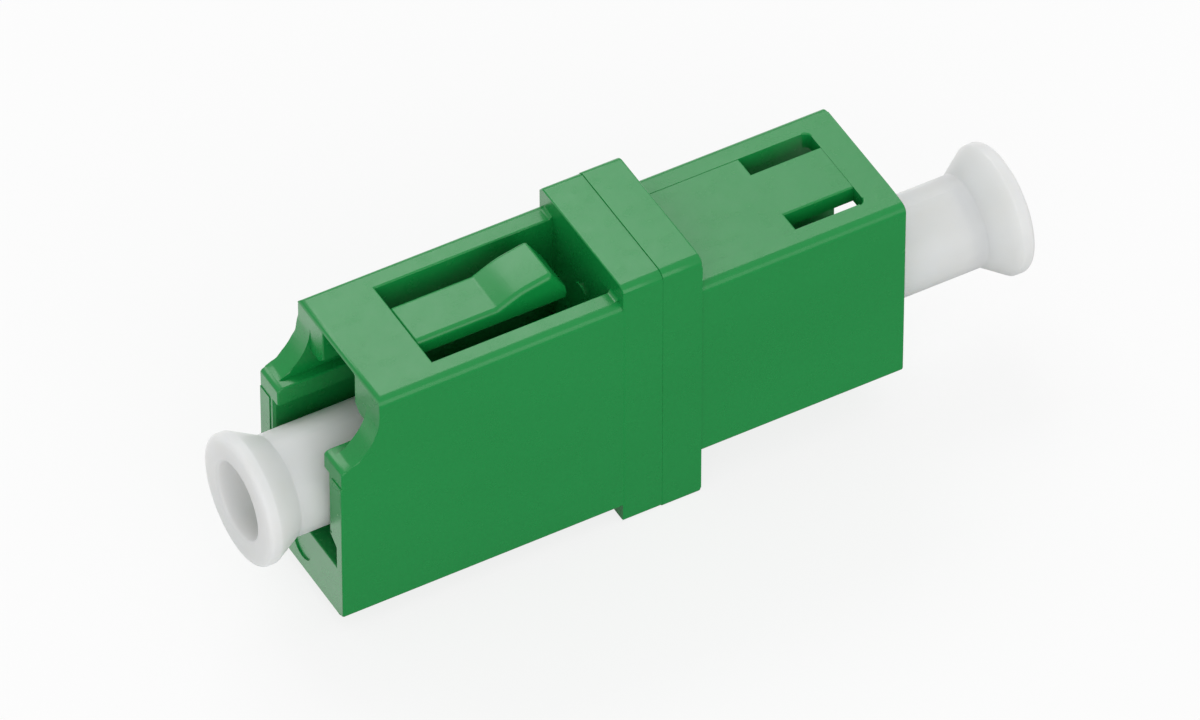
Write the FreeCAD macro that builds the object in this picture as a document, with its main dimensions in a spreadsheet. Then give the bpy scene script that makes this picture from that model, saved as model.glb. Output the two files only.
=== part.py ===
import FreeCAD, Part
import math
import os
import types

import Sketcher

# Simplex fibre adapter: two moulded housing halves that meet inside a flange, a ceramic split
# sleeve trapped between them, a spring tongue that snaps into a panel, and a dust cap in each port.
# Millimetres. X is the optical axis, with the scooped front mouth at -X. Z is up, and the origin
# is on the optical axis in the parting plane of the two halves.

# Driving dimensions: alias, value, meaning
DIMENSIONS = [
    ("port_width", 4.7, "plug port, side to side"),
    ("port_height", 5.0, "plug port, floor to the underside of the rails"),
    ("port_drop", 2.45, "floor of the port below the optical axis"),
    ("rail_t", 0.88, "thickness of the rails above the port"),
    ("rail_gap", 3.95, "opening between the rails"),
    ("channel_width", 4.9, "channel for the shoulders of the plug's latch"),
    ("channel_height", 1.1, "top of the rails to the underside of the front catches"),
    ("rear_channel_height", 1.69, "top of the rails to the rear top wall"),
    ("catch_gap", 2.7, "slot for the plug's latch arm between the front catches, at the top wall"),
    ("catch_mouth", 3.3, "that slot at the lower edge of the catches"),
    ("catch_height", 1.31, "height of the front catches"),
    ("catch_length", 1.25, "length of a front catch along the axis"),
    ("roof_t", 0.8, "top wall of the front half, and the panel latch"),
    ("side_wall", 1.18, "side walls of the front half"),
    ("front_floor_t", 2.64, "sill under the front port"),
    ("rear_side_wall", 1.15, "side walls of the rear half"),
    ("rear_roof_t", 0.8, "top wall of the rear half"),
    ("rear_floor_t", 1.21, "floor of the rear half"),
    ("flange_lip", 0.97, "how far the flange stands above the front half"),
    ("flange_foot", 0.83, "how far the flange stands below the front half"),
    ("flange_proud", 0.035, "how far the flange stands beside the front half"),
    ("flange_ease", 0.1, "slope from the front half's sides out to the flange's"),
    ("flange_fillet", 0.2, "hollow between the front half's top and the flange"),
    ("front_flange_t", 1.86, "flange thickness on the front half"),
    ("rear_flange_t", 1.87, "flange thickness on the rear half"),
    ("rear_flange_step", 0.05, "rear flange half standing past the front one, above and below"),
    ("window_length", 8.36, "latch window, from the flange to the root of the tongue"),
    ("window_width", 4.9, "latch window, side to side"),
    ("mouth_land", 3.04, "top wall between the window and the mouth"),
    ("mouth_setback", 1.85, "top wall set back from the lips of the side walls"),
    ("scoop_radius", 2.55, "finger scoop at the front mouth"),
    ("scoop_drop", 0.88, "upright edge of the top wall above the scoop"),
    ("lip_edge_r", 0.3, "rounding of the side walls' front top edge"),
    ("mould_line", 0.95, "mould line on the ends of the side walls, below their top"),
    ("mould_side", 0.31, "mould line beside the port, out from its wall"),
    ("mould_step", 0.04, "step at that mould line"),
    ("pin_d", 1.5, "ejector pin mark on the end of the sill"),
    ("inner_pin_d", 1.2, "ejector pin mark on the flange behind the latch"),
    ("inner_pin_z", 4.3, "height of that mark above the optical axis"),
    ("pin_depth", 0.08, "pin marks: depth of the outer one and height of the inner one"),
    ("lead_land", 0.2, "edge left on the top wall over the lead-in"),
    ("relief_width", 0.65, "corner relief of the front port, outwards from its wall"),
    ("relief_height", 1.15, "corner relief of the front port, upwards from the sill"),
    ("relief_ramp", 0.5, "slope above the corner relief"),
    ("relief_depth", 2.6, "corner relief, in from the lip"),
    ("mouth_chamfer", 0.15, "lead-in on the side walls of the front port"),
    ("latch_width", 2.4, "panel latch tongue"),
    ("panel_gap", 1.37, "room for the panel between the latch and the flange"),
    ("latch_lip", 0.16, "lip at the free end of the latch"),
    ("latch_lip_drop", 0.2, "lip below the top of the tongue"),
    ("latch_drop_run", 0.5, "steep back of the hump, along the axis"),
    ("latch_ramp", 2.55, "ramp of the hump, along the axis"),
    ("latch_rise", 0.8, "hump above the tongue"),
    ("latch_knee", 1.1, "steep start of the ramp, along the axis"),
    ("latch_knee_rise", 0.52, "steep start of the ramp, upward"),
    ("latch_knee_r", 1.5, "rounding where the ramp gets gentler"),
    ("latch_bend_r", 0.25, "rounding where the ramp starts"),
    ("latch_crest_r", 0.15, "rounding of the crest"),
    ("latch_edge_r", 0.25, "rounding of the tongue's long edges"),
    ("slot_land", 5.12, "rear top wall between the flange and the latch windows"),
    ("slot_length", 3.3, "rear latch windows, along the axis"),
    ("slot_width", 1.02, "rear latch windows, across"),
    ("slot_corner_r", 0.3, "rounded outer corners of the rear latch windows"),
    ("rear_land", 1.35, "rear top wall behind the latch windows"),
    ("strip_width", 2.76, "strip between the rear latch windows"),
    ("patch_depth", 0.02, "recess around the strip"),
    ("edge_r", 0.4, "rounding of the long top edges"),
    ("base_r", 0.2, "rounding of the long bottom edges"),
    ("front_edge_r", 0.25, "rounding of the top wall's front edge"),
    ("sleeve_od", 1.6, "split sleeve, outside"),
    ("sleeve_id", 1.25, "split sleeve, ferrule bore"),
    ("sleeve_length", 6.8, "split sleeve"),
    ("sleeve_slit", 0.22, "slit of the sleeve"),
    ("sleeve_play", 0.06, "radial play of the sleeve in its seat"),
    ("sleeve_end_play", 0.1, "play at each end of the sleeve"),
    ("stop_t", 0.8, "wall that keeps the sleeve in its boss"),
    ("stop_bore", 1.4, "ferrule hole through that wall, at the sleeve"),
    ("stop_lead", 2.0, "funnel mouth of that hole, at the end of the boss"),
    ("boss_wall", 0.59, "wall of the sleeve boss"),
    ("cap_length", 15.75, "dust cap, overall"),
    ("front_cap_seat", 0.5, "front cap's inner end to the end of its port"),
    ("rear_cap_seat", 0.75, "rear cap's inner end to the end of its port"),
    ("cap_play", 0.19, "offset of the caps from the axis: the front one up, the rear one down"),
    ("cap_fit", 0.05, "radial clearance of the cap on the sleeve boss"),
    ("front_cap_gap", 0.09, "front cap's barrel to the port wall"),
    ("rear_cap_gap", 0.26, "rear cap's barrel to the port wall"),
    ("cap_head_d", 5.88, "flared head of the cap"),
    ("cap_head_t", 0.58, "rim of the head, along the axis"),
    ("cap_flare", 1.24, "flare from the barrel to the head"),
    ("cap_bore_d", 3.5, "blind bore in the head"),
    ("cap_bore_depth", 2.4, "depth of that bore"),
    ("cap_socket_depth", 5.5, "socket over the sleeve boss"),
    ("cap_rim_r", 0.25, "rounding of the head's outer rim"),
    ("cap_back_r", 0.15, "rounding at the back of the rim"),
    ("cap_bore_r", 0.15, "rounding of the bore's edge"),
    ("cap_neck_r", 0.1, "rounding where the flare meets the barrel"),
]

TOLERANCE = 1e-4
FULL_TURN = 360

doc = FreeCAD.newDocument("fibre_adapter")


class Size:
    """A length held both as a sheet formula and as its value today."""

    def __init__(self, formula, value):
        self.formula = formula
        self.value = value

    def joined(self, sign, other, value):
        return Size("(%s %s %s)" % (self.formula, sign, other.formula), value)

    def __add__(self, other):
        other = as_size(other)
        return self.joined("+", other, self.value + other.value)

    def __sub__(self, other):
        other = as_size(other)
        return self.joined("-", other, self.value - other.value)

    def __mul__(self, other):
        other = as_size(other)
        return self.joined("*", other, self.value * other.value)

    def __truediv__(self, other):
        other = as_size(other)
        return self.joined("/", other, self.value / other.value)

    def __neg__(self):
        return as_size(0) - self

    def root(self):
        return Size("sqrt(%s)" % self.formula, math.sqrt(self.value))


def as_size(number):
    return number if isinstance(number, Size) else Size(repr(number), number)


def make_sheet():
    sheet = doc.addObject("Spreadsheet::Sheet", "dims")
    sizes = {}
    for row, (alias, value, meaning) in enumerate(DIMENSIONS, start=1):
        sheet.set("A%d" % row, alias)
        sheet.set("B%d" % row, str(value))
        sheet.setAlias("B%d" % row, alias)
        sheet.set("C%d" % row, meaning)
        sizes[alias] = Size("dims.%s" % alias, value)
    doc.recompute()
    return types.SimpleNamespace(**sizes)


d = make_sheet()

# Heights, stacked from the port
port_half = d.port_width / 2
port_bottom = -d.port_drop
port_top = port_bottom + d.port_height
rail_top = port_top + d.rail_t
catch_z = rail_top + d.channel_height
roof_under = catch_z + d.catch_height
front_top = roof_under + d.roof_t
front_bottom = port_bottom - d.front_floor_t
flange_top = front_top + d.flange_lip
flange_bottom = front_bottom - d.flange_foot
rear_channel_top = rail_top + d.rear_channel_height
rear_top = rear_channel_top + d.rear_roof_t
rear_bottom = port_bottom - d.rear_floor_t

# Widths
body_width = d.port_width + d.side_wall * 2
flange_width = body_width + d.flange_proud * 2
rear_width = d.port_width + d.rear_side_wall * 2
slots_width = d.strip_width + d.slot_width * 2

# Stations along the axis
front_face = -d.front_flange_t
window_root = front_face - d.window_length
mouth_top = window_root - d.mouth_land
lip = mouth_top - d.mouth_setback
catch_back = mouth_top + d.catch_length
slot_start = d.rear_flange_t + d.slot_land
slot_end = slot_start + d.slot_length
rear_end = slot_end + d.rear_land

# Sleeve seat and boss
seat_r = d.sleeve_od / 2 + d.sleeve_play
seat_end = d.sleeve_length / 2 + d.sleeve_end_play
boss_r = seat_r + d.boss_wall
boss_end = seat_end + d.stop_t


def bind(obj, path, size):
    obj.setExpression(path, size.formula)


def new_body(name):
    body = doc.addObject("PartDesign::Body", name)
    body.Label = name
    return body


def origin_part(body, role):
    return next(item for item in body.Origin.OriginFeatures if item.Role == role)


def new_sketch(body, name, plane, height=None):
    """Sketch on one of the body's own origin planes, moved along its normal by height."""
    sketch = body.newObject("Sketcher::SketchObject", name)
    sketch.AttachmentSupport = [(origin_part(body, plane), "")]
    sketch.MapMode = "FlatFace"
    if height is not None:
        bind(sketch, "AttachmentOffset.Base.z", height)
    return sketch


def arc_between(start, end, radius):
    """Arc from start to end: to the left of the chord for a positive radius, else to the right."""
    chord = end - start
    sag = math.sqrt(radius * radius - chord.Length * chord.Length / 4)
    left = FreeCAD.Vector(-chord.y, chord.x, 0).normalize()
    side = 1 if radius > 0 else -1
    centre = (start + end) * 0.5 - left * (sag * side)
    first, last = (end, start) if side > 0 else (start, end)
    angles = [math.atan2(p.y - centre.y, p.x - centre.x) for p in (first, last)]
    circle = Part.Circle(centre, FreeCAD.Vector(0, 0, 1), abs(radius))
    return Part.ArcOfCircle(circle, angles[0], angles[1]), side > 0


def pin(sketch, kind, axis, edge, end, size):
    """Hold one coordinate of an edge's end, on the axis itself where the size is nothing."""
    if size.formula == "0":
        sketch.addConstraint(Sketcher.Constraint("PointOnObject", edge, end, axis))
        return
    index = sketch.addConstraint(Sketcher.Constraint(kind, -1, 1, edge, end, size.value))
    bind(sketch, "Constraints[%d]" % index, size)


def draw(sketch, corners):
    """Closed outline through corners (x, y), or (x, y, radius) where an arc leaves that corner."""
    corners = [tuple(as_size(value) for value in corner) for corner in corners]
    points = [FreeCAD.Vector(corner[0].value, corner[1].value, 0) for corner in corners]
    starts = []
    for i, corner in enumerate(corners):
        target = points[(i + 1) % len(points)]
        turned = False
        if len(corner) == 3:
            shape, turned = arc_between(points[i], target, corner[2].value)
        else:
            shape = Part.LineSegment(points[i], target)
        edge = sketch.addGeometry(shape, False)
        starts.append((edge, 2, 1) if turned else (edge, 1, 2))
    for i, (edge, _, end) in enumerate(starts):
        following, first, _ = starts[(i + 1) % len(starts)]
        sketch.addConstraint(Sketcher.Constraint("Coincident", edge, end, following, first))
    for (edge, begin, _), corner in zip(starts, corners):
        pin(sketch, "DistanceX", -2, edge, begin, corner[0])
        pin(sketch, "DistanceY", -1, edge, begin, corner[1])
        if len(corner) == 3:
            size = corner[2] if corner[2].value > 0 else -corner[2]
            index = sketch.addConstraint(Sketcher.Constraint("Radius", edge, size.value))
            bind(sketch, "Constraints[%d]" % index, size)
    return sketch


def box_corners(x_low, x_high, y_low, y_high):
    return [(x_low, y_low), (x_high, y_low), (x_high, y_high), (x_low, y_high)]


def rounded_section(width, bottom, top):
    """Section of a moulded block across the axis, with its long edges rounded."""
    half = width / 2
    return [
        (half, bottom + d.base_r),
        (half, top - d.edge_r, -d.edge_r),
        (half - d.edge_r, top),
        (-half + d.edge_r, top, -d.edge_r),
        (-half, top - d.edge_r),
        (-half, bottom + d.base_r, -d.base_r),
        (-half + d.base_r, bottom),
        (half - d.base_r, bottom, -d.base_r),
    ]


def draw_circle(sketch, radius, up=as_size(0)):
    """Circle about the sketch's origin, or about a point above it."""
    centre = FreeCAD.Vector(0, up.value, 0)
    edge = sketch.addGeometry(Part.Circle(centre, FreeCAD.Vector(0, 0, 1), radius.value))
    pin(sketch, "DistanceX", -2, edge, 3, as_size(0))
    pin(sketch, "DistanceY", -1, edge, 3, up)
    index = sketch.addConstraint(Sketcher.Constraint("Radius", edge, radius.value))
    bind(sketch, "Constraints[%d]" % index, radius)
    return sketch


def volume_of(body):
    return 0.0 if body.Shape.isNull() else body.Shape.Volume


def finish(body, feature, grows):
    """Make the feature the body's tip, and check that it added or removed material."""
    before = volume_of(body)
    body.Tip = feature
    doc.recompute()
    change = body.Shape.Volume - before
    if (change > 0) != grows or abs(change) < TOLERANCE:
        raise RuntimeError("%s changed the volume by %.5f" % (feature.Name, change))
    return feature


def pad(body, sketch, length, both_ways=False, turned=False):
    feature = body.newObject("PartDesign::Pad", sketch.Name + "_pad")
    feature.Profile = sketch
    feature.SideType = "Symmetric" if both_ways else "One side"
    feature.Reversed = turned
    bind(feature, "Length", length)
    return finish(body, feature, True)


def pocket(body, sketch, length=None, both_ways=False, turned=False):
    """Cut against the sketch's normal, or along it when turned; without a length, right through."""
    feature = body.newObject("PartDesign::Pocket", sketch.Name + "_cut")
    feature.Profile = sketch
    feature.SideType = "Symmetric" if both_ways else "One side"
    feature.Reversed = turned
    if length is None:
        feature.Type = "ThroughAll"
    else:
        bind(feature, "Length", length)
    return finish(body, feature, False)


def revolve(body, sketch, kind, grows):
    feature = body.newObject("PartDesign::" + kind, sketch.Name + "_turned")
    feature.Profile = sketch
    feature.ReferenceAxis = (origin_part(body, "X_Axis"), [""])
    feature.Angle = FULL_TURN
    return finish(body, feature, grows)


def ease(body, name, wanted, radius):
    """Round the edges of the body's tip for which wanted is true."""
    base = body.Tip
    names = []
    for number, edge in enumerate(base.Shape.Edges, start=1):
        if wanted(edge):
            names.append("Edge%d" % number)
    if not names:
        raise RuntimeError("no edge found for " + name)
    feature = body.newObject("PartDesign::Fillet", name)
    feature.Base = (base, names)
    bind(feature, "Radius", radius)
    body.Tip = feature
    doc.recompute()
    if "Invalid" in feature.State:
        raise RuntimeError("%s can't be made" % name)
    return feature


def near(value, size):
    return abs(value - size.value) < TOLERANCE


def along(edge, axis):
    """True for a straight edge along one axis."""
    box = edge.BoundBox
    lengths = {"X": box.XLength, "Y": box.YLength, "Z": box.ZLength}
    return all((length > TOLERANCE) == (name == axis) for name, length in lengths.items())


def cross_edge(x, height):
    """Test for the edges along Y at this station and height."""
    def wanted(edge):
        middle = edge.BoundBox.Center
        return along(edge, "Y") and near(middle.x, x) and near(middle.z, height)
    return wanted


def rim_edge(x, radius):
    """Test for a full circle about the axis."""
    def wanted(edge):
        box = edge.BoundBox
        return near(box.Center.x, x) and box.XLength < TOLERANCE and near(box.ZLength / 2, radius)
    return wanted


def port_outline(channel_top, arm_slot):
    """Section of a plug port: the port, the gap between the rails and the channel above them.

    The front port also has the slot for the latch arm between its catches.
    """
    right_side = [
        (port_half, port_bottom),
        (port_half, port_top),
        (d.rail_gap / 2, port_top),
        (d.rail_gap / 2, rail_top),
        (d.channel_width / 2, rail_top),
        (d.channel_width / 2, channel_top),
    ]
    if arm_slot:
        bevel = (d.catch_mouth - d.catch_gap) / 2
        right_side += [
            (d.catch_mouth / 2, channel_top),
            (d.catch_gap / 2, channel_top + bevel),
            (d.catch_gap / 2, roof_under),
        ]
    return right_side + [(-across, up) for across, up in reversed(right_side)]


def add_sleeve_boss(body, floor, way):
    """Boss for half of the sleeve: out from the port's floor, with its stepped bore."""
    reach = as_size(way)
    boss = draw_circle(new_sketch(body, body.Name + "_boss", "YZ_Plane", floor), boss_r)
    pad(body, boss, boss_end - floor * reach, turned=way < 0)
    bore = new_sketch(body, body.Name + "_bore", "XZ_Plane")
    draw(bore, [
        (0, 0),
        (boss_end * reach, 0),
        (boss_end * reach, d.stop_lead / 2),
        (seat_end * reach, d.stop_bore / 2),
        (seat_end * reach, seat_r),
        (0, seat_r),
    ])
    revolve(body, bore, "Groove", False)


# Front half
def make_front_housing():
    body = new_body("front_housing")
    block = new_sketch(body, "front_block", "YZ_Plane")
    draw(block, rounded_section(body_width, front_bottom, front_top))
    pad(body, block, -lip, turned=True)

    flange = new_sketch(body, "front_flange", "YZ_Plane")
    draw(flange, rounded_section(flange_width, flange_bottom, flange_top))
    pad(body, flange, d.front_flange_t, turned=True)
    sides = new_sketch(body, "flange_sides", "XY_Plane", flange_top)
    for way in (as_size(-1), as_size(1)):
        draw(sides, [
            (front_face, body_width / 2 * way),
            (front_face, flange_width / 2 * way),
            (front_face + d.flange_ease, flange_width / 2 * way),
        ])
    pocket(body, sides, flange_top - flange_bottom)

    hollow = new_sketch(body, "flange_hollow", "XZ_Plane")
    draw(hollow, [
        (front_face, front_top),
        (front_face - d.flange_fillet, front_top, -d.flange_fillet),
        (front_face, front_top + d.flange_fillet),
    ])
    pad(body, hollow, body_width - d.edge_r * 2, both_ways=True)

    scoop = new_sketch(body, "finger_scoop", "XZ_Plane")
    scoop_z = front_top - d.scoop_drop
    lip_run = d.mouth_setback - d.lip_edge_r
    lip_z = scoop_z - (lip_run * (d.scoop_radius * 2 - lip_run)).root()
    clear_z = front_top + d.flange_lip
    clear_x = lip - d.mouth_setback
    draw(scoop, [
        (mouth_top + d.front_edge_r, clear_z),
        (mouth_top + d.front_edge_r, front_top, -d.front_edge_r),
        (mouth_top, front_top - d.front_edge_r),
        (mouth_top, scoop_z, d.scoop_radius),
        (lip + d.lip_edge_r, lip_z, -d.lip_edge_r),
        (lip, lip_z - d.lip_edge_r),
        (clear_x, lip_z - d.lip_edge_r),
        (clear_x, clear_z),
    ])
    pocket(body, scoop, body_width * 2, both_ways=True)

    port = new_sketch(body, "front_port", "YZ_Plane", front_face)
    pocket(body, draw(port, port_outline(catch_z, arm_slot=True)))

    cavity = new_sketch(body, "latch_cavity", "YZ_Plane", front_face)
    half = d.channel_width / 2
    draw(cavity, box_corners(-half, half, catch_z, roof_under))
    pocket(body, cavity, front_face - catch_back)
    catch_fronts = new_sketch(body, "catch_fronts", "YZ_Plane", mouth_top)
    pocket(body, draw(catch_fronts, box_corners(-half, half, catch_z, roof_under)))

    window = new_sketch(body, "latch_window", "XY_Plane", front_top + d.flange_fillet)
    half = d.window_width / 2
    draw(window, box_corners(window_root, front_face, -half, half))
    pocket(body, window, d.roof_t + d.flange_fillet)

    lead = new_sketch(body, "lead_in", "XZ_Plane")
    lead_run = d.roof_t - d.lead_land
    draw(lead, [
        (mouth_top, roof_under),
        (mouth_top + lead_run, roof_under),
        (mouth_top, roof_under + lead_run),
    ])
    pocket(body, lead, d.catch_gap, both_ways=True)

    relief = new_sketch(body, "corner_relief", "YZ_Plane", lip + d.relief_depth)
    relief_half = port_half + d.relief_width
    relief_top = port_bottom + d.relief_height
    draw(relief, [
        (-relief_half, port_bottom),
        (relief_half, port_bottom),
        (relief_half, relief_top),
        (port_half, relief_top + d.relief_ramp),
        (-port_half, relief_top + d.relief_ramp),
        (-relief_half, relief_top),
    ])
    pocket(body, relief)

    mouth = new_sketch(body, "mouth_lead", "XY_Plane", port_top)
    for way in (as_size(-1), as_size(1)):
        draw(mouth, [
            (lip, port_half * way),
            (lip, (port_half + d.mouth_chamfer) * way),
            (lip + d.mouth_chamfer, port_half * way),
        ])
    pocket(body, mouth, d.port_height)

    inset = new_sketch(body, "mould_inset", "YZ_Plane", lip + d.mould_step)
    line_z = lip_z - d.mould_line
    line_y = port_half + d.mould_side
    draw(inset, [
        (-body_width, line_z),
        (-line_y, line_z),
        (-line_y, relief_top + d.relief_ramp),
        (line_y, relief_top + d.relief_ramp),
        (line_y, line_z),
        (body_width, line_z),
        (body_width, front_top),
        (-body_width, front_top),
    ])
    pocket(body, inset)

    sill_pin = new_sketch(body, "sill_pin", "YZ_Plane", lip + d.pin_depth)
    pocket(body, draw_circle(sill_pin, d.pin_d / 2, (port_bottom + front_bottom) / 2))
    inner_pin = new_sketch(body, "inner_pin", "YZ_Plane", front_face)
    pad(body, draw_circle(inner_pin, d.inner_pin_d / 2, d.inner_pin_z), d.pin_depth, turned=True)

    add_sleeve_boss(body, front_face, -1)
    return body


# Spring tongue in the front half's window
def make_panel_latch():
    body = new_body("panel_latch")
    tip = front_face - d.panel_gap
    step = tip - d.latch_lip
    crest = step - d.latch_drop_run
    bend = crest - d.latch_ramp
    knee = bend + d.latch_knee
    knee_z = front_top + d.latch_knee_rise
    crest_z = front_top + d.latch_rise
    side = new_sketch(body, "latch_side", "XZ_Plane")
    draw(side, [
        (window_root, roof_under),
        (window_root, front_top),
        (bend, front_top),
        (knee, knee_z),
        (crest, crest_z),
        (step, front_top),
        (tip, front_top - d.latch_lip_drop),
        (tip, roof_under),
    ])
    pad(body, side, d.latch_width, both_ways=True)
    ease(body, "latch_bend", cross_edge(bend, front_top), d.latch_bend_r)
    ease(body, "latch_knee", cross_edge(knee, knee_z), d.latch_knee_r)
    ease(body, "latch_crest", cross_edge(crest, crest_z), d.latch_crest_r)

    def upper_side(edge):
        box = edge.BoundBox
        in_side = near(abs(box.Center.y), d.latch_width / 2) and box.YLength < TOLERANCE
        return in_side and box.ZMin > roof_under.value + TOLERANCE

    ease(body, "latch_edges", upper_side, d.latch_edge_r)
    return body


# Rear half
def make_rear_housing():
    body = new_body("rear_housing")
    flange = new_sketch(body, "rear_flange", "YZ_Plane")
    low = flange_bottom - d.rear_flange_step
    draw(flange, rounded_section(flange_width, low, flange_top + d.rear_flange_step))
    pad(body, flange, d.rear_flange_t)

    block = new_sketch(body, "rear_block", "YZ_Plane")
    draw(block, rounded_section(rear_width, rear_bottom, rear_top))
    pad(body, block, rear_end)

    port = new_sketch(body, "rear_port", "YZ_Plane", d.rear_flange_t)
    pocket(body, draw(port, port_outline(rear_channel_top, arm_slot=False)), turned=True)

    slots = new_sketch(body, "rear_slots", "XY_Plane", rear_top)
    inner = d.strip_width / 2
    outer = slots_width / 2
    corner_x = slot_end - d.slot_corner_r
    corner_y = outer - d.slot_corner_r
    for way in (as_size(-1), as_size(1)):
        draw(slots, [
            (slot_start, inner * way),
            (slot_end, inner * way),
            (slot_end, corner_y * way, -d.slot_corner_r * way),
            (corner_x, outer * way),
            (slot_start, outer * way),
        ])
    pocket(body, slots, d.rear_roof_t)

    patch = new_sketch(body, "rear_patch", "XY_Plane", rear_top)
    draw(patch, [
        (d.rear_flange_t, -outer),
        (corner_x, -outer, -d.slot_corner_r),
        (slot_end, -corner_y),
        (slot_end, corner_y, -d.slot_corner_r),
        (corner_x, outer),
        (d.rear_flange_t, outer),
    ])
    pocket(body, patch, d.patch_depth)

    add_sleeve_boss(body, d.rear_flange_t, 1)
    return body


# Split sleeve
def make_alignment_sleeve():
    body = new_body("alignment_sleeve")
    ring = new_sketch(body, "sleeve_ring", "YZ_Plane")
    draw_circle(ring, d.sleeve_od / 2)
    draw_circle(ring, d.sleeve_id / 2)
    pad(body, ring, d.sleeve_length, both_ways=True)
    slit = new_sketch(body, "sleeve_slit", "XY_Plane")
    half_length = d.sleeve_length / 2
    half_slit = d.sleeve_slit / 2
    draw(slit, box_corners(-half_length, half_length, -half_slit, half_slit))
    pocket(body, slit, turned=True)
    return body


# Dust caps
def make_dust_cap(name, inner_end, way, wall_gap):
    """Turned cap with a flared head, a blind bore in it and a socket over the sleeve boss.

    It lies a little off the axis in its port: the front cap up, the rear cap down.
    """
    body = new_body(name)
    reach = as_size(way)

    def station(distance):
        return inner_end + distance * reach

    barrel_r = port_half - wall_gap
    head_r = d.cap_head_d / 2
    bore_r = d.cap_bore_d / 2
    socket_r = boss_r + d.cap_fit + d.cap_play
    outer_end = station(d.cap_length)
    head_back = station(d.cap_length - d.cap_head_t)
    neck = station(d.cap_length - d.cap_head_t - d.cap_flare)
    profile = new_sketch(body, name + "_profile", "XZ_Plane")
    draw(profile, [
        (inner_end, socket_r),
        (inner_end, barrel_r),
        (neck, barrel_r),
        (head_back, head_r),
        (outer_end, head_r),
        (outer_end, bore_r),
        (station(d.cap_length - d.cap_bore_depth), bore_r),
        (station(d.cap_length - d.cap_bore_depth), 0),
        (station(d.cap_socket_depth), 0),
        (station(d.cap_socket_depth), socket_r),
    ])
    revolve(body, profile, "Revolution", True)
    ease(body, name + "_rim", rim_edge(outer_end, head_r), d.cap_rim_r)
    ease(body, name + "_back", rim_edge(head_back, head_r), d.cap_back_r)
    ease(body, name + "_neck", rim_edge(neck, barrel_r), d.cap_neck_r)
    ease(body, name + "_bore", rim_edge(outer_end, bore_r), d.cap_bore_r)
    bind(body, "Placement.Base.z", -d.cap_play * reach)
    return body


bodies = [
    make_front_housing(),
    make_panel_latch(),
    make_rear_housing(),
    make_alignment_sleeve(),
    make_dust_cap("front_dust_cap", front_face - d.front_cap_seat, -1, d.front_cap_gap),
    make_dust_cap("rear_dust_cap", d.rear_flange_t + d.rear_cap_seat, 1, d.rear_cap_gap),
]
doc.recompute()

# Every object is sound before anything is written
for item in doc.Objects:
    if "Invalid" in item.State or "Error" in item.State:
        raise RuntimeError("%s failed: %s" % (item.Name, item.State))
for body in bodies:
    if body.Shape.isNull() or not body.Shape.isValid() or len(body.Shape.Solids) != 1:
        raise RuntimeError("%s is not one sound solid" % body.Label)

os.makedirs("parts", exist_ok=True)
for body in bodies:
    body.Shape.exportStep("parts/%s.step" % body.Label)
    box = body.Shape.optimalBoundingBox()
    print("%s: %.2f mm3, x %.2f to %.2f, z %.2f to %.2f" % (
        body.Label, body.Shape.Volume, box.XMin, box.XMax, box.ZMin, box.ZMax))
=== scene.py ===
"""Looks of a simplex fibre adapter: glossy green housing, spring latch and soft white dust caps.

Every length is in metres, in the frame of the packed model: X is the optical axis, with the
scooped mouth at -X, Z is up, and the origin is in the parting plane of the two housing halves.
"""

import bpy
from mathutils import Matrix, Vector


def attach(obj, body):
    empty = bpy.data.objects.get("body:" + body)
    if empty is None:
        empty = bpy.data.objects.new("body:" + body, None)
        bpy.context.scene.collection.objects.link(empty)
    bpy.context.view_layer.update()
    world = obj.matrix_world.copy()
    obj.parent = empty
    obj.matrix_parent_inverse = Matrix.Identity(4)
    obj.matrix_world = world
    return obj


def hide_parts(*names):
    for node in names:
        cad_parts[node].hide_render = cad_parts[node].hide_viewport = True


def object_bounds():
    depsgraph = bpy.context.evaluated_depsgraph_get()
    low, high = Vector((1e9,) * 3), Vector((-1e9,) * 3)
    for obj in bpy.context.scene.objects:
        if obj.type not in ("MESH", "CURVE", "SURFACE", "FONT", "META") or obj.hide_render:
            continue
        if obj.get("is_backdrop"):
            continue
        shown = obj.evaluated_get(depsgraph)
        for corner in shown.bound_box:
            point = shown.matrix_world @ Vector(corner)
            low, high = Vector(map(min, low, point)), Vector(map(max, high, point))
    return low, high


bl_info = {
    "name": "Fibre adapter",
    "version": (1, 0, 0),
    "blender": (4, 5, 0),
    "location": "3D View > Sidebar > Adapter",
    "description": "Builds the looks of a simplex fibre adapter around its packed model",
    "category": "Object",
}

import math

import bmesh
import bpy
from mathutils import Matrix, Vector
from mathutils.bvhtree import BVHTree

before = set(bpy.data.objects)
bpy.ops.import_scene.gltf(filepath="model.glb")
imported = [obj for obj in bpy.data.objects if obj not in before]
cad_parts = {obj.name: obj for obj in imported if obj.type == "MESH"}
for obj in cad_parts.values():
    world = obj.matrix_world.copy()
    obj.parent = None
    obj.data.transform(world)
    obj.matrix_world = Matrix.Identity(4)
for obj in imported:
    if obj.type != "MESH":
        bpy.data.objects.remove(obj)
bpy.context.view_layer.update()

MM = 0.001
MERGE_DISTANCE = 0.001 * MM
FLAT_ANGLE = math.radians(0.5)
CORNER_ANGLE = math.radians(42)
WHITE = (1, 1, 1)
NOISE_LOW = 0.3
NOISE_HIGH = 0.7
EDGE_STEPS = 3
EDGE_SHARES = (0.1, 0.5, 0.9)
EDGE_ROOM = 2
ROUND_PROFILE = 0.5
KEEP_MATERIAL = -1

# Ramp of the tongue
RAMP_FOOT = -6.36 * MM
RAMP_CREST = -4.05 * MM
RAMP_STEPS = 14
RAMP_REACH = 0.36 * MM
RAMP_SAMPLES = 9
UPWARD = 0.03

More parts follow.
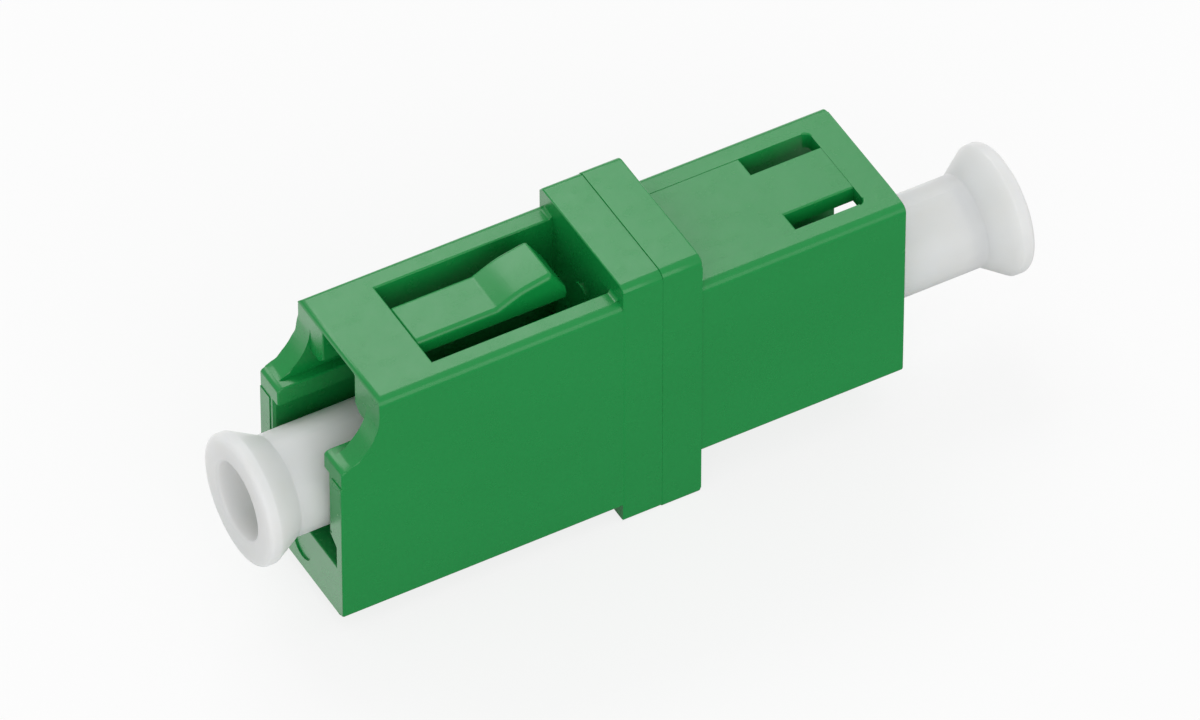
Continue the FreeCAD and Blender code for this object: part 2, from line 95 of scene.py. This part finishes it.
# Green plastic
FLOW_SIZE = 5.0 * MM
FLOW_STRETCH = (0.4, 1, 1)
FLOW_SHARE = 0.6
GRAIN_SIZE = 0.22 * MM
GRAIN_SHARE = 0.4
SKIN_SIZE = 0.7 * MM
SKIN_SPREAD = 0.12
WAVE_SIZE = 2.4 * MM
RIPPLE_SIZE = 0.6 * MM
RIPPLE_SHARE = 0.12
HOUSING_BUMP = 0.16
HOUSING_RELIEF = 0.05 * MM

# White plastic
CLOUD_LOW = 0.25
CLOUD_HIGH = 0.75
CLOUD_SIZE = 1.8 * MM
CLOUD_TINT = (0.985, 0.98, 0.965)
CAP_SKIN_SIZE = 0.35 * MM
CAP_SKIN_SPREAD = 0.1
CAP_SKIN_SHARE = 0.5
CAP_WAVE_SIZE = 1.2 * MM
CAP_BUMP = 0.1
CAP_RELIEF = 0.04 * MM
CAP_IOR = 1.4
CAP_LIGHT_REACH = (1.0, 0.95, 0.9)

# Ceramic
CERAMIC_GRAIN_SIZE = 0.2 * MM
CERAMIC_TINT = 0.96
LAPPING_SIZE = 0.05 * MM
LAPPING_STRETCH = (1, 0.08, 0.08)
LAPPING_SPREAD = 0.08
CERAMIC_BUMP = 0.05
CERAMIC_RELIEF = 0.01 * MM

# Floor and panels
FLOOR_SIZE = 2.0
FLOOR_ROUGHNESS = 0.9
FLOOR_GLOW = 0.8
# Edges, along X and across Y, of the painted shade and the painted lit zones that the floor shows in
# reflections
PAINTED_SHADE_EDGE = (-16 * MM, -13 * MM)
PAINTED_LIT_NEAR_EDGE = (-4 * MM, -2 * MM)
PAINTED_LIT_FAR_EDGE = (7 * MM, 9 * MM)
BACK_WAY = (0.054, 0.68, 0.731)
BACK_DISTANCE = 0.6
BACK_SIZE = (0.43, 0.24)
FRONT_WAY = (-0.22, -0.92, 0.3)
FRONT_DISTANCE = 0.8
FRONT_SIZE = (1.1, 0.8)


# Properties

class HousingLook(bpy.types.PropertyGroup):
    """Finish of the moulded green plastic"""

    colour: bpy.props.FloatVectorProperty(
        name="Colour", description="Colour of the moulded plastic", subtype="COLOR",
        default=(0.006, 0.252, 0.051), min=0, max=1)
    shade: bpy.props.FloatVectorProperty(
        name="Flow shade", description="Deeper colour along the flow of the moulding", subtype="COLOR",
        default=(0.005, 0.234, 0.046), min=0, max=1)
    roughness: bpy.props.FloatProperty(
        name="Roughness", description="Gloss of the moulded skin", subtype="FACTOR",
        default=0.26, min=0, max=1)
    ior: bpy.props.FloatProperty(
        name="Refraction", description="Refractive index of the moulded skin", default=1.46, min=1, max=2)
    edge: bpy.props.FloatProperty(
        name="Edge radius", description="Rounding of the outer edges", unit="LENGTH", precision=5,
        default=0.08 * MM, min=0)
    seam: bpy.props.FloatProperty(
        name="Seam radius", description="Rounding along the seam of the two halves", unit="LENGTH",
        precision=5, default=0.02 * MM, min=0)


class CapLook(bpy.types.PropertyGroup):
    """Finish of the soft white caps"""

    colour: bpy.props.FloatVectorProperty(
        name="Colour", description="Colour of the soft plastic", subtype="COLOR",
        default=(0.68, 0.69, 0.695), min=0, max=1)
    roughness: bpy.props.FloatProperty(
        name="Roughness", description="Gloss of the soft plastic", subtype="FACTOR",
        default=0.42, min=0, max=1)
    depth: bpy.props.FloatProperty(
        name="Light depth", description="How far light spreads inside the plastic", unit="LENGTH",
        precision=5, default=2.4 * MM, min=0)


class SleeveLook(bpy.types.PropertyGroup):
    """Finish of the ceramic sleeve"""

    colour: bpy.props.FloatVectorProperty(
        name="Colour", description="Colour of the ceramic", subtype="COLOR",
        default=(0.84, 0.83, 0.79), min=0, max=1)
    roughness: bpy.props.FloatProperty(
        name="Roughness", description="Polish of the ceramic", subtype="FACTOR",
        default=0.16, min=0, max=1)


class StageLook(bpy.types.PropertyGroup):
    """Floor, lights and camera"""

    floor: bpy.props.FloatVectorProperty(
        name="Floor", description="Colour of the floor", subtype="COLOR",
        default=(0.86, 0.86, 0.86), min=0, max=1)
    # Colour of the painted shade that reflections see on the floor beside the object
    shade: bpy.props.FloatVectorProperty(
        name="Floor in shade", description="Reflected floor beside the object", subtype="COLOR",
        default=(0.22, 0.22, 0.22), min=0, max=1)
    bounce: bpy.props.FloatVectorProperty(
        name="Floor as a light", description="Floor colour for the light that it sends back",
        subtype="COLOR", default=(0.66, 0.66, 0.66), min=0, max=1)
    sky: bpy.props.FloatProperty(
        name="Sky", description="Strength of the light from all around", default=0.69, min=0)
    back_panel: bpy.props.FloatProperty(
        name="Back panel", description="Brightness of the panel behind the object", default=3.4, min=0)
    front_panel: bpy.props.FloatProperty(
        name="Front panel", description="Brightness of the panel beside the camera", default=1.52, min=0)
    # Glow of the painted lit floor that reflections see, a painted reflection and no lamp
    mirror: bpy.props.FloatProperty(
        name="Bright floor", description="Brightness of the lit floor in reflections", default=1.32, min=0)
    azimuth: bpy.props.FloatProperty(
        name="Azimuth", description="Camera's turn to the left of the near side", subtype="ANGLE",
        default=math.radians(29.29))
    elevation: bpy.props.FloatProperty(
        name="Elevation", description="Camera's height above the floor's plane", subtype="ANGLE",
        default=math.radians(44.85))
    distance: bpy.props.FloatProperty(
        name="Distance", description="Camera to the point it looks at", unit="LENGTH",
        default=0.582, min=0.1)
    target: bpy.props.FloatVectorProperty(
        name="Target", description="Point that the camera looks at", subtype="TRANSLATION", precision=5,
        default=(-0.895 * MM, 0.141 * MM, -0.081 * MM))
    lens: bpy.props.FloatProperty(
        name="Lens", description="Focal length of the camera", unit="CAMERA", default=420.1, min=1)


# Shader maths

class Wire:
    """An output of a shader node. Sums of wires and numbers add Math nodes."""

    def __init__(self, tree, socket=None):
        self.tree = tree
        self.socket = socket

    def add(self, kind, settings=(), output=0, **sockets):
        """New node. A socket goes by its name, with _ for a space, or by i and its number."""
        node = self.tree.nodes.new(kind)
        for name, value in dict(settings).items():
            setattr(node, name, value)
        for name, value in sockets.items():
            place = int(name[1:]) if name[1:].isdigit() else name.replace("_", " ")
            if isinstance(value, Wire):
                self.tree.links.new(value.socket, node.inputs[place])
            else:
                node.inputs[place].default_value = value
        return Wire(self.tree, node.outputs[output])

    def maths(self, operation, first, second):
        return self.add("ShaderNodeMath", {"operation": operation}, i0=first, i1=second)

    def __add__(self, other):
        return self.maths("ADD", self, other)

    def __radd__(self, other):
        return self.maths("ADD", other, self)

    def __rsub__(self, other):
        return self.maths("SUBTRACT", other, self)

    def __mul__(self, other):
        return self.maths("MULTIPLY", self, other)

    def noise(self, size, detail=2.0, roughness=0.5, stretch=(1, 1, 1)):
        """Noise from 0 to 1 whose features are about this long."""
        coordinates = self.add("ShaderNodeTexCoord", output="Object")
        stretched = self.add("ShaderNodeMapping", i0=coordinates, Scale=stretch)
        return self.add(
            "ShaderNodeTexNoise", Vector=stretched, Scale=1 / size, Detail=detail, Roughness=roughness)

    def between(self, low, high):
        """0 below low, 1 above high, smooth between."""
        settings = {"interpolation_type": "SMOOTHSTEP"}
        return self.add("ShaderNodeMapRange", settings, Value=self, From_Min=low, From_Max=high)

    def mixed(self, first, second):
        """Colour from first to second by this factor."""
        settings = {"data_type": "RGBA"}
        return self.add("ShaderNodeMix", settings, output=2, i0=self, i6=first, i7=second)


def opaque(colour):
    return (*colour, 1)


def new_material(name):
    """Empty material, with a wire to build on and the shader and output nodes."""
    material = bpy.data.materials.new(name)
    material.use_nodes = True
    tree = material.node_tree
    return material, Wire(tree), tree.nodes["Principled BSDF"], tree.nodes["Material Output"]


def connect(wire, node, name):
    wire.tree.links.new(wire.socket, node.inputs[name])


def housing_plastic():
    """Moulded green plastic: slow drift of colour along the flow and a fine satin skin."""
    look = bpy.context.scene.adapter_housing
    material, start, shader, _ = new_material("housing_plastic")
    flow = start.noise(FLOW_SIZE, detail=3, stretch=FLOW_STRETCH).between(NOISE_LOW, NOISE_HIGH)
    grain = start.noise(GRAIN_SIZE, detail=3).between(NOISE_LOW, NOISE_HIGH)
    tone = flow * FLOW_SHARE + grain * GRAIN_SHARE
    connect(tone.mixed(opaque(look.colour), opaque(look.shade)), shader, "Base Color")
    skin = start.noise(SKIN_SIZE, detail=2, roughness=0.6)
    connect(look.roughness - SKIN_SPREAD / 2 + skin * SKIN_SPREAD, shader, "Roughness")
    wave = start.noise(WAVE_SIZE, detail=0) + start.noise(RIPPLE_SIZE, detail=0) * RIPPLE_SHARE
    bump = start.add("ShaderNodeBump", Strength=HOUSING_BUMP, Distance=HOUSING_RELIEF, Height=wave)
    connect(bump, shader, "Normal")
    shader.inputs["IOR"].default_value = look.ior
    return material


def cap_plastic():
    """Soft white plastic that lets light in, with faint cloudiness and a satin skin."""
    look = bpy.context.scene.adapter_caps
    material, start, shader, _ = new_material("cap_plastic")
    cloud = start.noise(CLOUD_SIZE, detail=3).between(CLOUD_LOW, CLOUD_HIGH)
    warm = tuple(value * share for value, share in zip(look.colour, CLOUD_TINT))
    connect(cloud.mixed(opaque(look.colour), opaque(warm)), shader, "Base Color")
    skin = start.noise(CAP_SKIN_SIZE, detail=4)
    connect(look.roughness - CAP_SKIN_SPREAD / 2 + skin * CAP_SKIN_SPREAD, shader, "Roughness")
    relief = skin * CAP_SKIN_SHARE + start.noise(CAP_WAVE_SIZE, detail=1)
    bump = start.add("ShaderNodeBump", Strength=CAP_BUMP, Distance=CAP_RELIEF, Height=relief)
    connect(bump, shader, "Normal")
    shader.inputs["IOR"].default_value = CAP_IOR
    shader.inputs["Subsurface Weight"].default_value = 1.0
    shader.inputs["Subsurface Radius"].default_value = CAP_LIGHT_REACH
    shader.inputs["Subsurface Scale"].default_value = look.depth
    return material


def sleeve_ceramic():
    """Polished ceramic with fine lapping marks around the sleeve."""
    look = bpy.context.scene.adapter_sleeve
    material, start, shader, _ = new_material("sleeve_ceramic")
    grain = start.noise(CERAMIC_GRAIN_SIZE, detail=3).between(NOISE_LOW, NOISE_HIGH)
    aged = tuple(value * CERAMIC_TINT for value in look.colour)
    connect(grain.mixed(opaque(look.colour), opaque(aged)), shader, "Base Color")
    lapping = start.noise(LAPPING_SIZE, detail=2, stretch=LAPPING_STRETCH)
    connect(look.roughness + lapping * LAPPING_SPREAD, shader, "Roughness")
    bump = start.add("ShaderNodeBump", Strength=CERAMIC_BUMP, Distance=CERAMIC_RELIEF, Height=lapping)
    connect(bump, shader, "Normal")
    return material


# Pieces

def joined_copy(node):
    """Copy of a node's mesh with its loose triangles joined into whole flat faces."""
    bm = bmesh.new()
    bm.from_mesh(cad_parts[node].data)
    bmesh.ops.remove_doubles(bm, verts=bm.verts[:], dist=MERGE_DISTANCE)
    bmesh.ops.dissolve_limit(bm, angle_limit=FLAT_ANGLE, verts=bm.verts[:], edges=bm.edges[:])
    return bm


def is_corner(edge):
    return len(edge.link_faces) == 2 and edge.calc_face_angle() > CORNER_ANGLE


def room_inward(loop, share):
    """How far a face reaches straight away from one of its edges, at a share of the edge's length."""
    along = loop.link_loop_next.vert.co - loop.vert.co
    place = loop.vert.co + along * share
    along.normalize()
    inward = loop.face.normal.cross(along)
    reach = math.inf
    for other in loop.face.loops:
        first = other.vert.co - place
        second = other.link_loop_next.vert.co - place
        before, after = first.dot(along), second.dot(along)
        if other is not loop and before * after <= 0 and before != after:
            far = first.lerp(second, before / (before - after)).dot(inward)
            if far > MERGE_DISTANCE:
                reach = min(reach, far)
    return reach


def room_beside(edge):
    """How far the narrower of the two faces at an edge reaches away from it."""
    return min(room_inward(loop, share) for loop in edge.link_loops for share in EDGE_SHARES)


def at_seam(edge):
    return all(abs(vert.co.x) < MERGE_DISTANCE for vert in edge.verts)


def round_off(bm, edges, radius):
    bmesh.ops.bevel(
        bm, geom=edges, offset=radius, offset_type="OFFSET", affect="EDGES", segments=EDGE_STEPS,
        profile=ROUND_PROFILE, material=KEEP_MATERIAL)


def faces_out(edge, tree, radius):
    """Whether nothing of the piece lies straight ahead of an edge."""
    middle = (edge.verts[0].co + edge.verts[1].co) / 2
    ahead = sum((face.normal for face in edge.link_faces), Vector()).normalized()
    return tree.ray_cast(middle + ahead * radius, ahead)[0] is None


def ease_edges(bm, look):
    """Round the outer edges, and keep the inner corners and the finest steps sharp."""
    tree = BVHTree.FromBMesh(bm)
    corners = [edge for edge in bm.edges if is_corner(edge) and edge.is_convex]
    outer = [edge for edge in corners if faces_out(edge, tree, look.edge)]
    seam = [edge for edge in outer if at_seam(edge)]
    rest = [edge for edge in outer if not at_seam(edge) and room_beside(edge) > look.edge * EDGE_ROOM]
    round_off(bm, rest, look.edge)
    round_off(bm, [edge for edge in seam if edge.is_valid], look.seam)
    for edge in bm.edges:
        edge.smooth = not is_corner(edge)
    for face in bm.faces:
        face.smooth = True


def curve_ramp(bm):
    """Soften the bends of the tongue's ramp, which is steep at its foot and gentle at its crest."""
    for step in range(RAMP_STEPS + 1):
        place = (RAMP_FOOT + (RAMP_CREST - RAMP_FOOT) * step / RAMP_STEPS, 0, 0)
        upper = [face for face in bm.faces if face.normal.z > UPWARD]
        edges = dict.fromkeys(edge for face in upper for edge in face.edges)
        verts = dict.fromkeys(vert for face in upper for vert in face.verts)
        geom = [*verts, *edges, *upper]
        bmesh.ops.bisect_plane(bm, geom=geom, dist=MERGE_DISTANCE, plane_co=place, plane_no=(1, 0, 0))
    tree = BVHTree.FromBMesh(bm)
    above = max(vert.co.z for vert in bm.verts) + MM
    under = min(vert.co.z for vert in bm.verts)

    def top_at(x):
        return tree.ray_cast(Vector((x, 0, above)), Vector((0, 0, -1)))[0].z

    for vert in bm.verts:
        reach = min(RAMP_REACH, vert.co.x - RAMP_FOOT, RAMP_CREST - vert.co.x)
        if reach > 0:
            shares = [2 * sample / (RAMP_SAMPLES - 1) - 1 for sample in range(RAMP_SAMPLES)]
            curve = sum(top_at(vert.co.x + reach * share) for share in shares) / RAMP_SAMPLES
            top = top_at(vert.co.x)
            vert.co.z += (curve - top) * (vert.co.z - under) / (top - under)


def new_piece(name, bm, material, body, node):
    """Object that stands for a node and moves with its body."""
    mesh = bpy.data.meshes.new(name)
    bm.to_mesh(mesh)
    bm.free()
    mesh.materials.append(material)
    piece = bpy.data.objects.new(name, mesh)
    bpy.context.scene.collection.objects.link(piece)
    even = piece.modifiers.new("even_normals", "WEIGHTED_NORMAL")
    even.keep_sharp = True
    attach(piece, body)
    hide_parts(node)


def material_once(name, make):
    return bpy.data.materials.get(name) or make()


class ADAPTER_OT_front_half(bpy.types.Operator):
    """Front half of the housing, with its scooped mouth and the window for the latch"""

    bl_idname = "adapter.front_half"
    bl_label = "Front half"

    def execute(self, context):
        bm = joined_copy("front_housing")
        ease_edges(bm, context.scene.adapter_housing)
        plastic = material_once("housing_plastic", housing_plastic)
        new_piece("front_half", bm, plastic, "housing", "front_housing")
        return {"FINISHED"}


class ADAPTER_OT_latch(bpy.types.Operator):
    """Spring tongue of the front half"""

    bl_idname = "adapter.latch"
    bl_label = "Panel latch"

    def execute(self, context):
        bm = joined_copy("panel_latch")
        ease_edges(bm, context.scene.adapter_housing)
        curve_ramp(bm)
        plastic = material_once("housing_plastic", housing_plastic)
        new_piece("latch_tongue", bm, plastic, "latch", "panel_latch")
        return {"FINISHED"}


class ADAPTER_OT_rear_half(bpy.types.Operator):
    """Rear half of the housing, with its two top windows"""

    bl_idname = "adapter.rear_half"
    bl_label = "Rear half"

    def execute(self, context):
        bm = joined_copy("rear_housing")
        ease_edges(bm, context.scene.adapter_housing)
        plastic = material_once("housing_plastic", housing_plastic)
        new_piece("rear_half", bm, plastic, "housing", "rear_housing")
        return {"FINISHED"}


class ADAPTER_OT_sleeve(bpy.types.Operator):
    """Split sleeve between the two halves"""

    bl_idname = "adapter.sleeve"
    bl_label = "Alignment sleeve"

    def execute(self, context):
        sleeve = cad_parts["alignment_sleeve"]
        sleeve.data.materials.clear()
        sleeve.data.materials.append(material_once("sleeve_ceramic", sleeve_ceramic))
        return {"FINISHED"}


class ADAPTER_OT_caps(bpy.types.Operator):
    """Soft dust caps, one in each port"""

    bl_idname = "adapter.caps"
    bl_label = "Dust caps"

    def execute(self, context):
        for node in ("front_dust_cap", "rear_dust_cap"):
            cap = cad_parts[node]
            cap.data.materials.clear()
            cap.data.materials.append(material_once("cap_plastic", cap_plastic))
        return {"FINISHED"}


# Stage

def floor_finish():
    """Pale floor: white where the camera sees it, apart from the object's soft shadow.

    In reflections it glows with painted light: a mask by place paints it white beyond the mouth and on the
    far side, and dim as painted shade beside the object.
    """
    look = bpy.context.scene.adapter_stage
    material, start, shader, output = new_material("pale_floor")
    bounced = start.add("ShaderNodeLightPath", output="Is Diffuse Ray")
    connect(bounced.mixed(opaque(look.floor), opaque(look.bounce)), shader, "Base Color")
    shader.inputs["Roughness"].default_value = FLOOR_ROUGHNESS
    shader.inputs["Specular IOR Level"].default_value = 0.0
    seen = start.add("ShaderNodeLightPath", output="Is Camera Ray")
    reflected = start.add("ShaderNodeLightPath", output="Is Glossy Ray")
    white = start.add("ShaderNodeEmission", Color=opaque(WHITE))
    lit = Wire(material.node_tree, shader.outputs[0])
    view = start.add("ShaderNodeMixShader", Fac=seen * FLOOR_GLOW, i1=lit, i2=white)
    # Painted reflection: masks by place on the floor paint a lit zone and a shade zone that only glossy
    # rays see; no lamp casts them.
    place = start.add("ShaderNodeTexCoord", output="Object")
    along = start.add("ShaderNodeSeparateXYZ", Vector=place, output="X")
    across = start.add("ShaderNodeSeparateXYZ", Vector=place, output="Y")
    painted_shadow_span = along.between(*PAINTED_SHADE_EDGE)
    behind = across.between(*PAINTED_LIT_NEAR_EDGE)
    far = across.between(*PAINTED_LIT_FAR_EDGE)
    painted_lit_zone = start.maths("MAXIMUM", behind * (1 - painted_shadow_span), far)
    tone = painted_lit_zone.mixed(opaque(look.shade), opaque(WHITE))
    # Painted reflection: the floor glows with the painted shade colour beside the object and white in the
    # painted lit zone.
    mirror = start.add("ShaderNodeEmission", Color=tone, Strength=look.mirror)
    connect(start.add("ShaderNodeMixShader", Fac=reflected, i1=view, i2=mirror), output, "Surface")
    return material


def add_panel(name, aim, way, distance, size, brightness):
    """Soft lamp of even brightness, in a direction from the point that it lights."""
    lamp = bpy.data.lights.new(name, "AREA")
    lamp.shape = "RECTANGLE"
    lamp.size, lamp.size_y = size
    lamp.energy = brightness * math.pi * lamp.size * lamp.size_y
    panel = bpy.data.objects.new(name, lamp)
    bpy.context.scene.collection.objects.link(panel)
    way = Vector(way).normalized()
    panel.location = aim + way * distance
    panel.rotation_euler = way.to_track_quat("Z", "Y").to_euler()


class ADAPTER_OT_stage(bpy.types.Operator):
    """Pale floor, soft panels and the camera"""

    bl_idname = "adapter.stage"
    bl_label = "Stage"

    def execute(self, context):
        scene = context.scene
        look = scene.adapter_stage
        aim = Vector(look.target)

        bm = bmesh.new()
        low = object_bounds()[0]
        ground = Matrix.Translation((0, 0, low[2]))
        bmesh.ops.create_grid(bm, x_segments=1, y_segments=1, size=FLOOR_SIZE, matrix=ground)
        mesh = bpy.data.meshes.new("floor")
        bm.to_mesh(mesh)
        bm.free()
        mesh.materials.append(floor_finish())
        floor = bpy.data.objects.new("floor", mesh)
        scene.collection.objects.link(floor)
        floor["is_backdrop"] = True

        world = bpy.data.worlds.new("soft_sky")
        world.use_nodes = True
        start = Wire(world.node_tree)
        rays = start.add("ShaderNodeLightPath", output="Is Camera Ray")
        strength = look.sky + rays * (1 - look.sky)
        connect(strength, world.node_tree.nodes["Background"], "Strength")
        world.node_tree.nodes["Background"].inputs["Color"].default_value = opaque(WHITE)
        scene.world = world

        add_panel("back_panel", aim, BACK_WAY, BACK_DISTANCE, BACK_SIZE, look.back_panel)
        add_panel("front_panel", aim, FRONT_WAY, FRONT_DISTANCE, FRONT_SIZE, look.front_panel)

        lens = bpy.data.cameras.new("camera")
        lens.lens = look.lens
        camera = bpy.data.objects.new("camera", lens)
        scene.collection.objects.link(camera)
        across = Vector((math.sin(look.azimuth), math.cos(look.azimuth), 0))
        way = Vector((0, 0, math.sin(look.elevation))) - across * math.cos(look.elevation)
        camera.location = aim + way * look.distance
        camera.rotation_euler = way.to_track_quat("Z", "Y").to_euler()
        scene.camera = camera
        scene.view_settings.view_transform = "Standard"
        return {"FINISHED"}


# Sidebar

class ADAPTER_PT_panel(bpy.types.Panel):
    """Sizes, colours and building steps of the adapter"""

    bl_idname = "ADAPTER_PT_panel"
    bl_label = "Fibre adapter"
    bl_space_type = "VIEW_3D"
    bl_region_type = "UI"
    bl_category = "Adapter"

    def draw(self, context):
        layout = self.layout
        for group in PROPERTY_GROUPS:
            box = layout.box()
            box.label(text=group.__doc__)
            values = getattr(context.scene, PROPERTY_GROUPS[group])
            for name in group.__annotations__:
                box.prop(values, name)
        for step in STEPS:
            layout.operator(step.bl_idname)


PROPERTY_GROUPS = {
    HousingLook: "adapter_housing",
    CapLook: "adapter_caps",
    SleeveLook: "adapter_sleeve",
    StageLook: "adapter_stage",
}
STEPS = (
    ADAPTER_OT_stage,
    ADAPTER_OT_front_half,
    ADAPTER_OT_latch,
    ADAPTER_OT_rear_half,
    ADAPTER_OT_sleeve,
    ADAPTER_OT_caps,
)


def register():
    for group, name in PROPERTY_GROUPS.items():
        bpy.utils.register_class(group)
        setattr(bpy.types.Scene, name, bpy.props.PointerProperty(type=group))
    for step in STEPS:
        bpy.utils.register_class(step)
    bpy.utils.register_class(ADAPTER_PT_panel)


def unregister():
    bpy.utils.unregister_class(ADAPTER_PT_panel)
    for step in reversed(STEPS):
        bpy.utils.unregister_class(step)
    for group, name in PROPERTY_GROUPS.items():
        delattr(bpy.types.Scene, name)
        bpy.utils.unregister_class(group)


def main():
    register()
    bpy.ops.adapter.stage()
    bpy.ops.adapter.front_half()
    bpy.ops.adapter.latch()
    bpy.ops.adapter.rear_half()
    bpy.ops.adapter.sleeve()
    bpy.ops.adapter.caps()


if __name__ == "__main__":
    main()
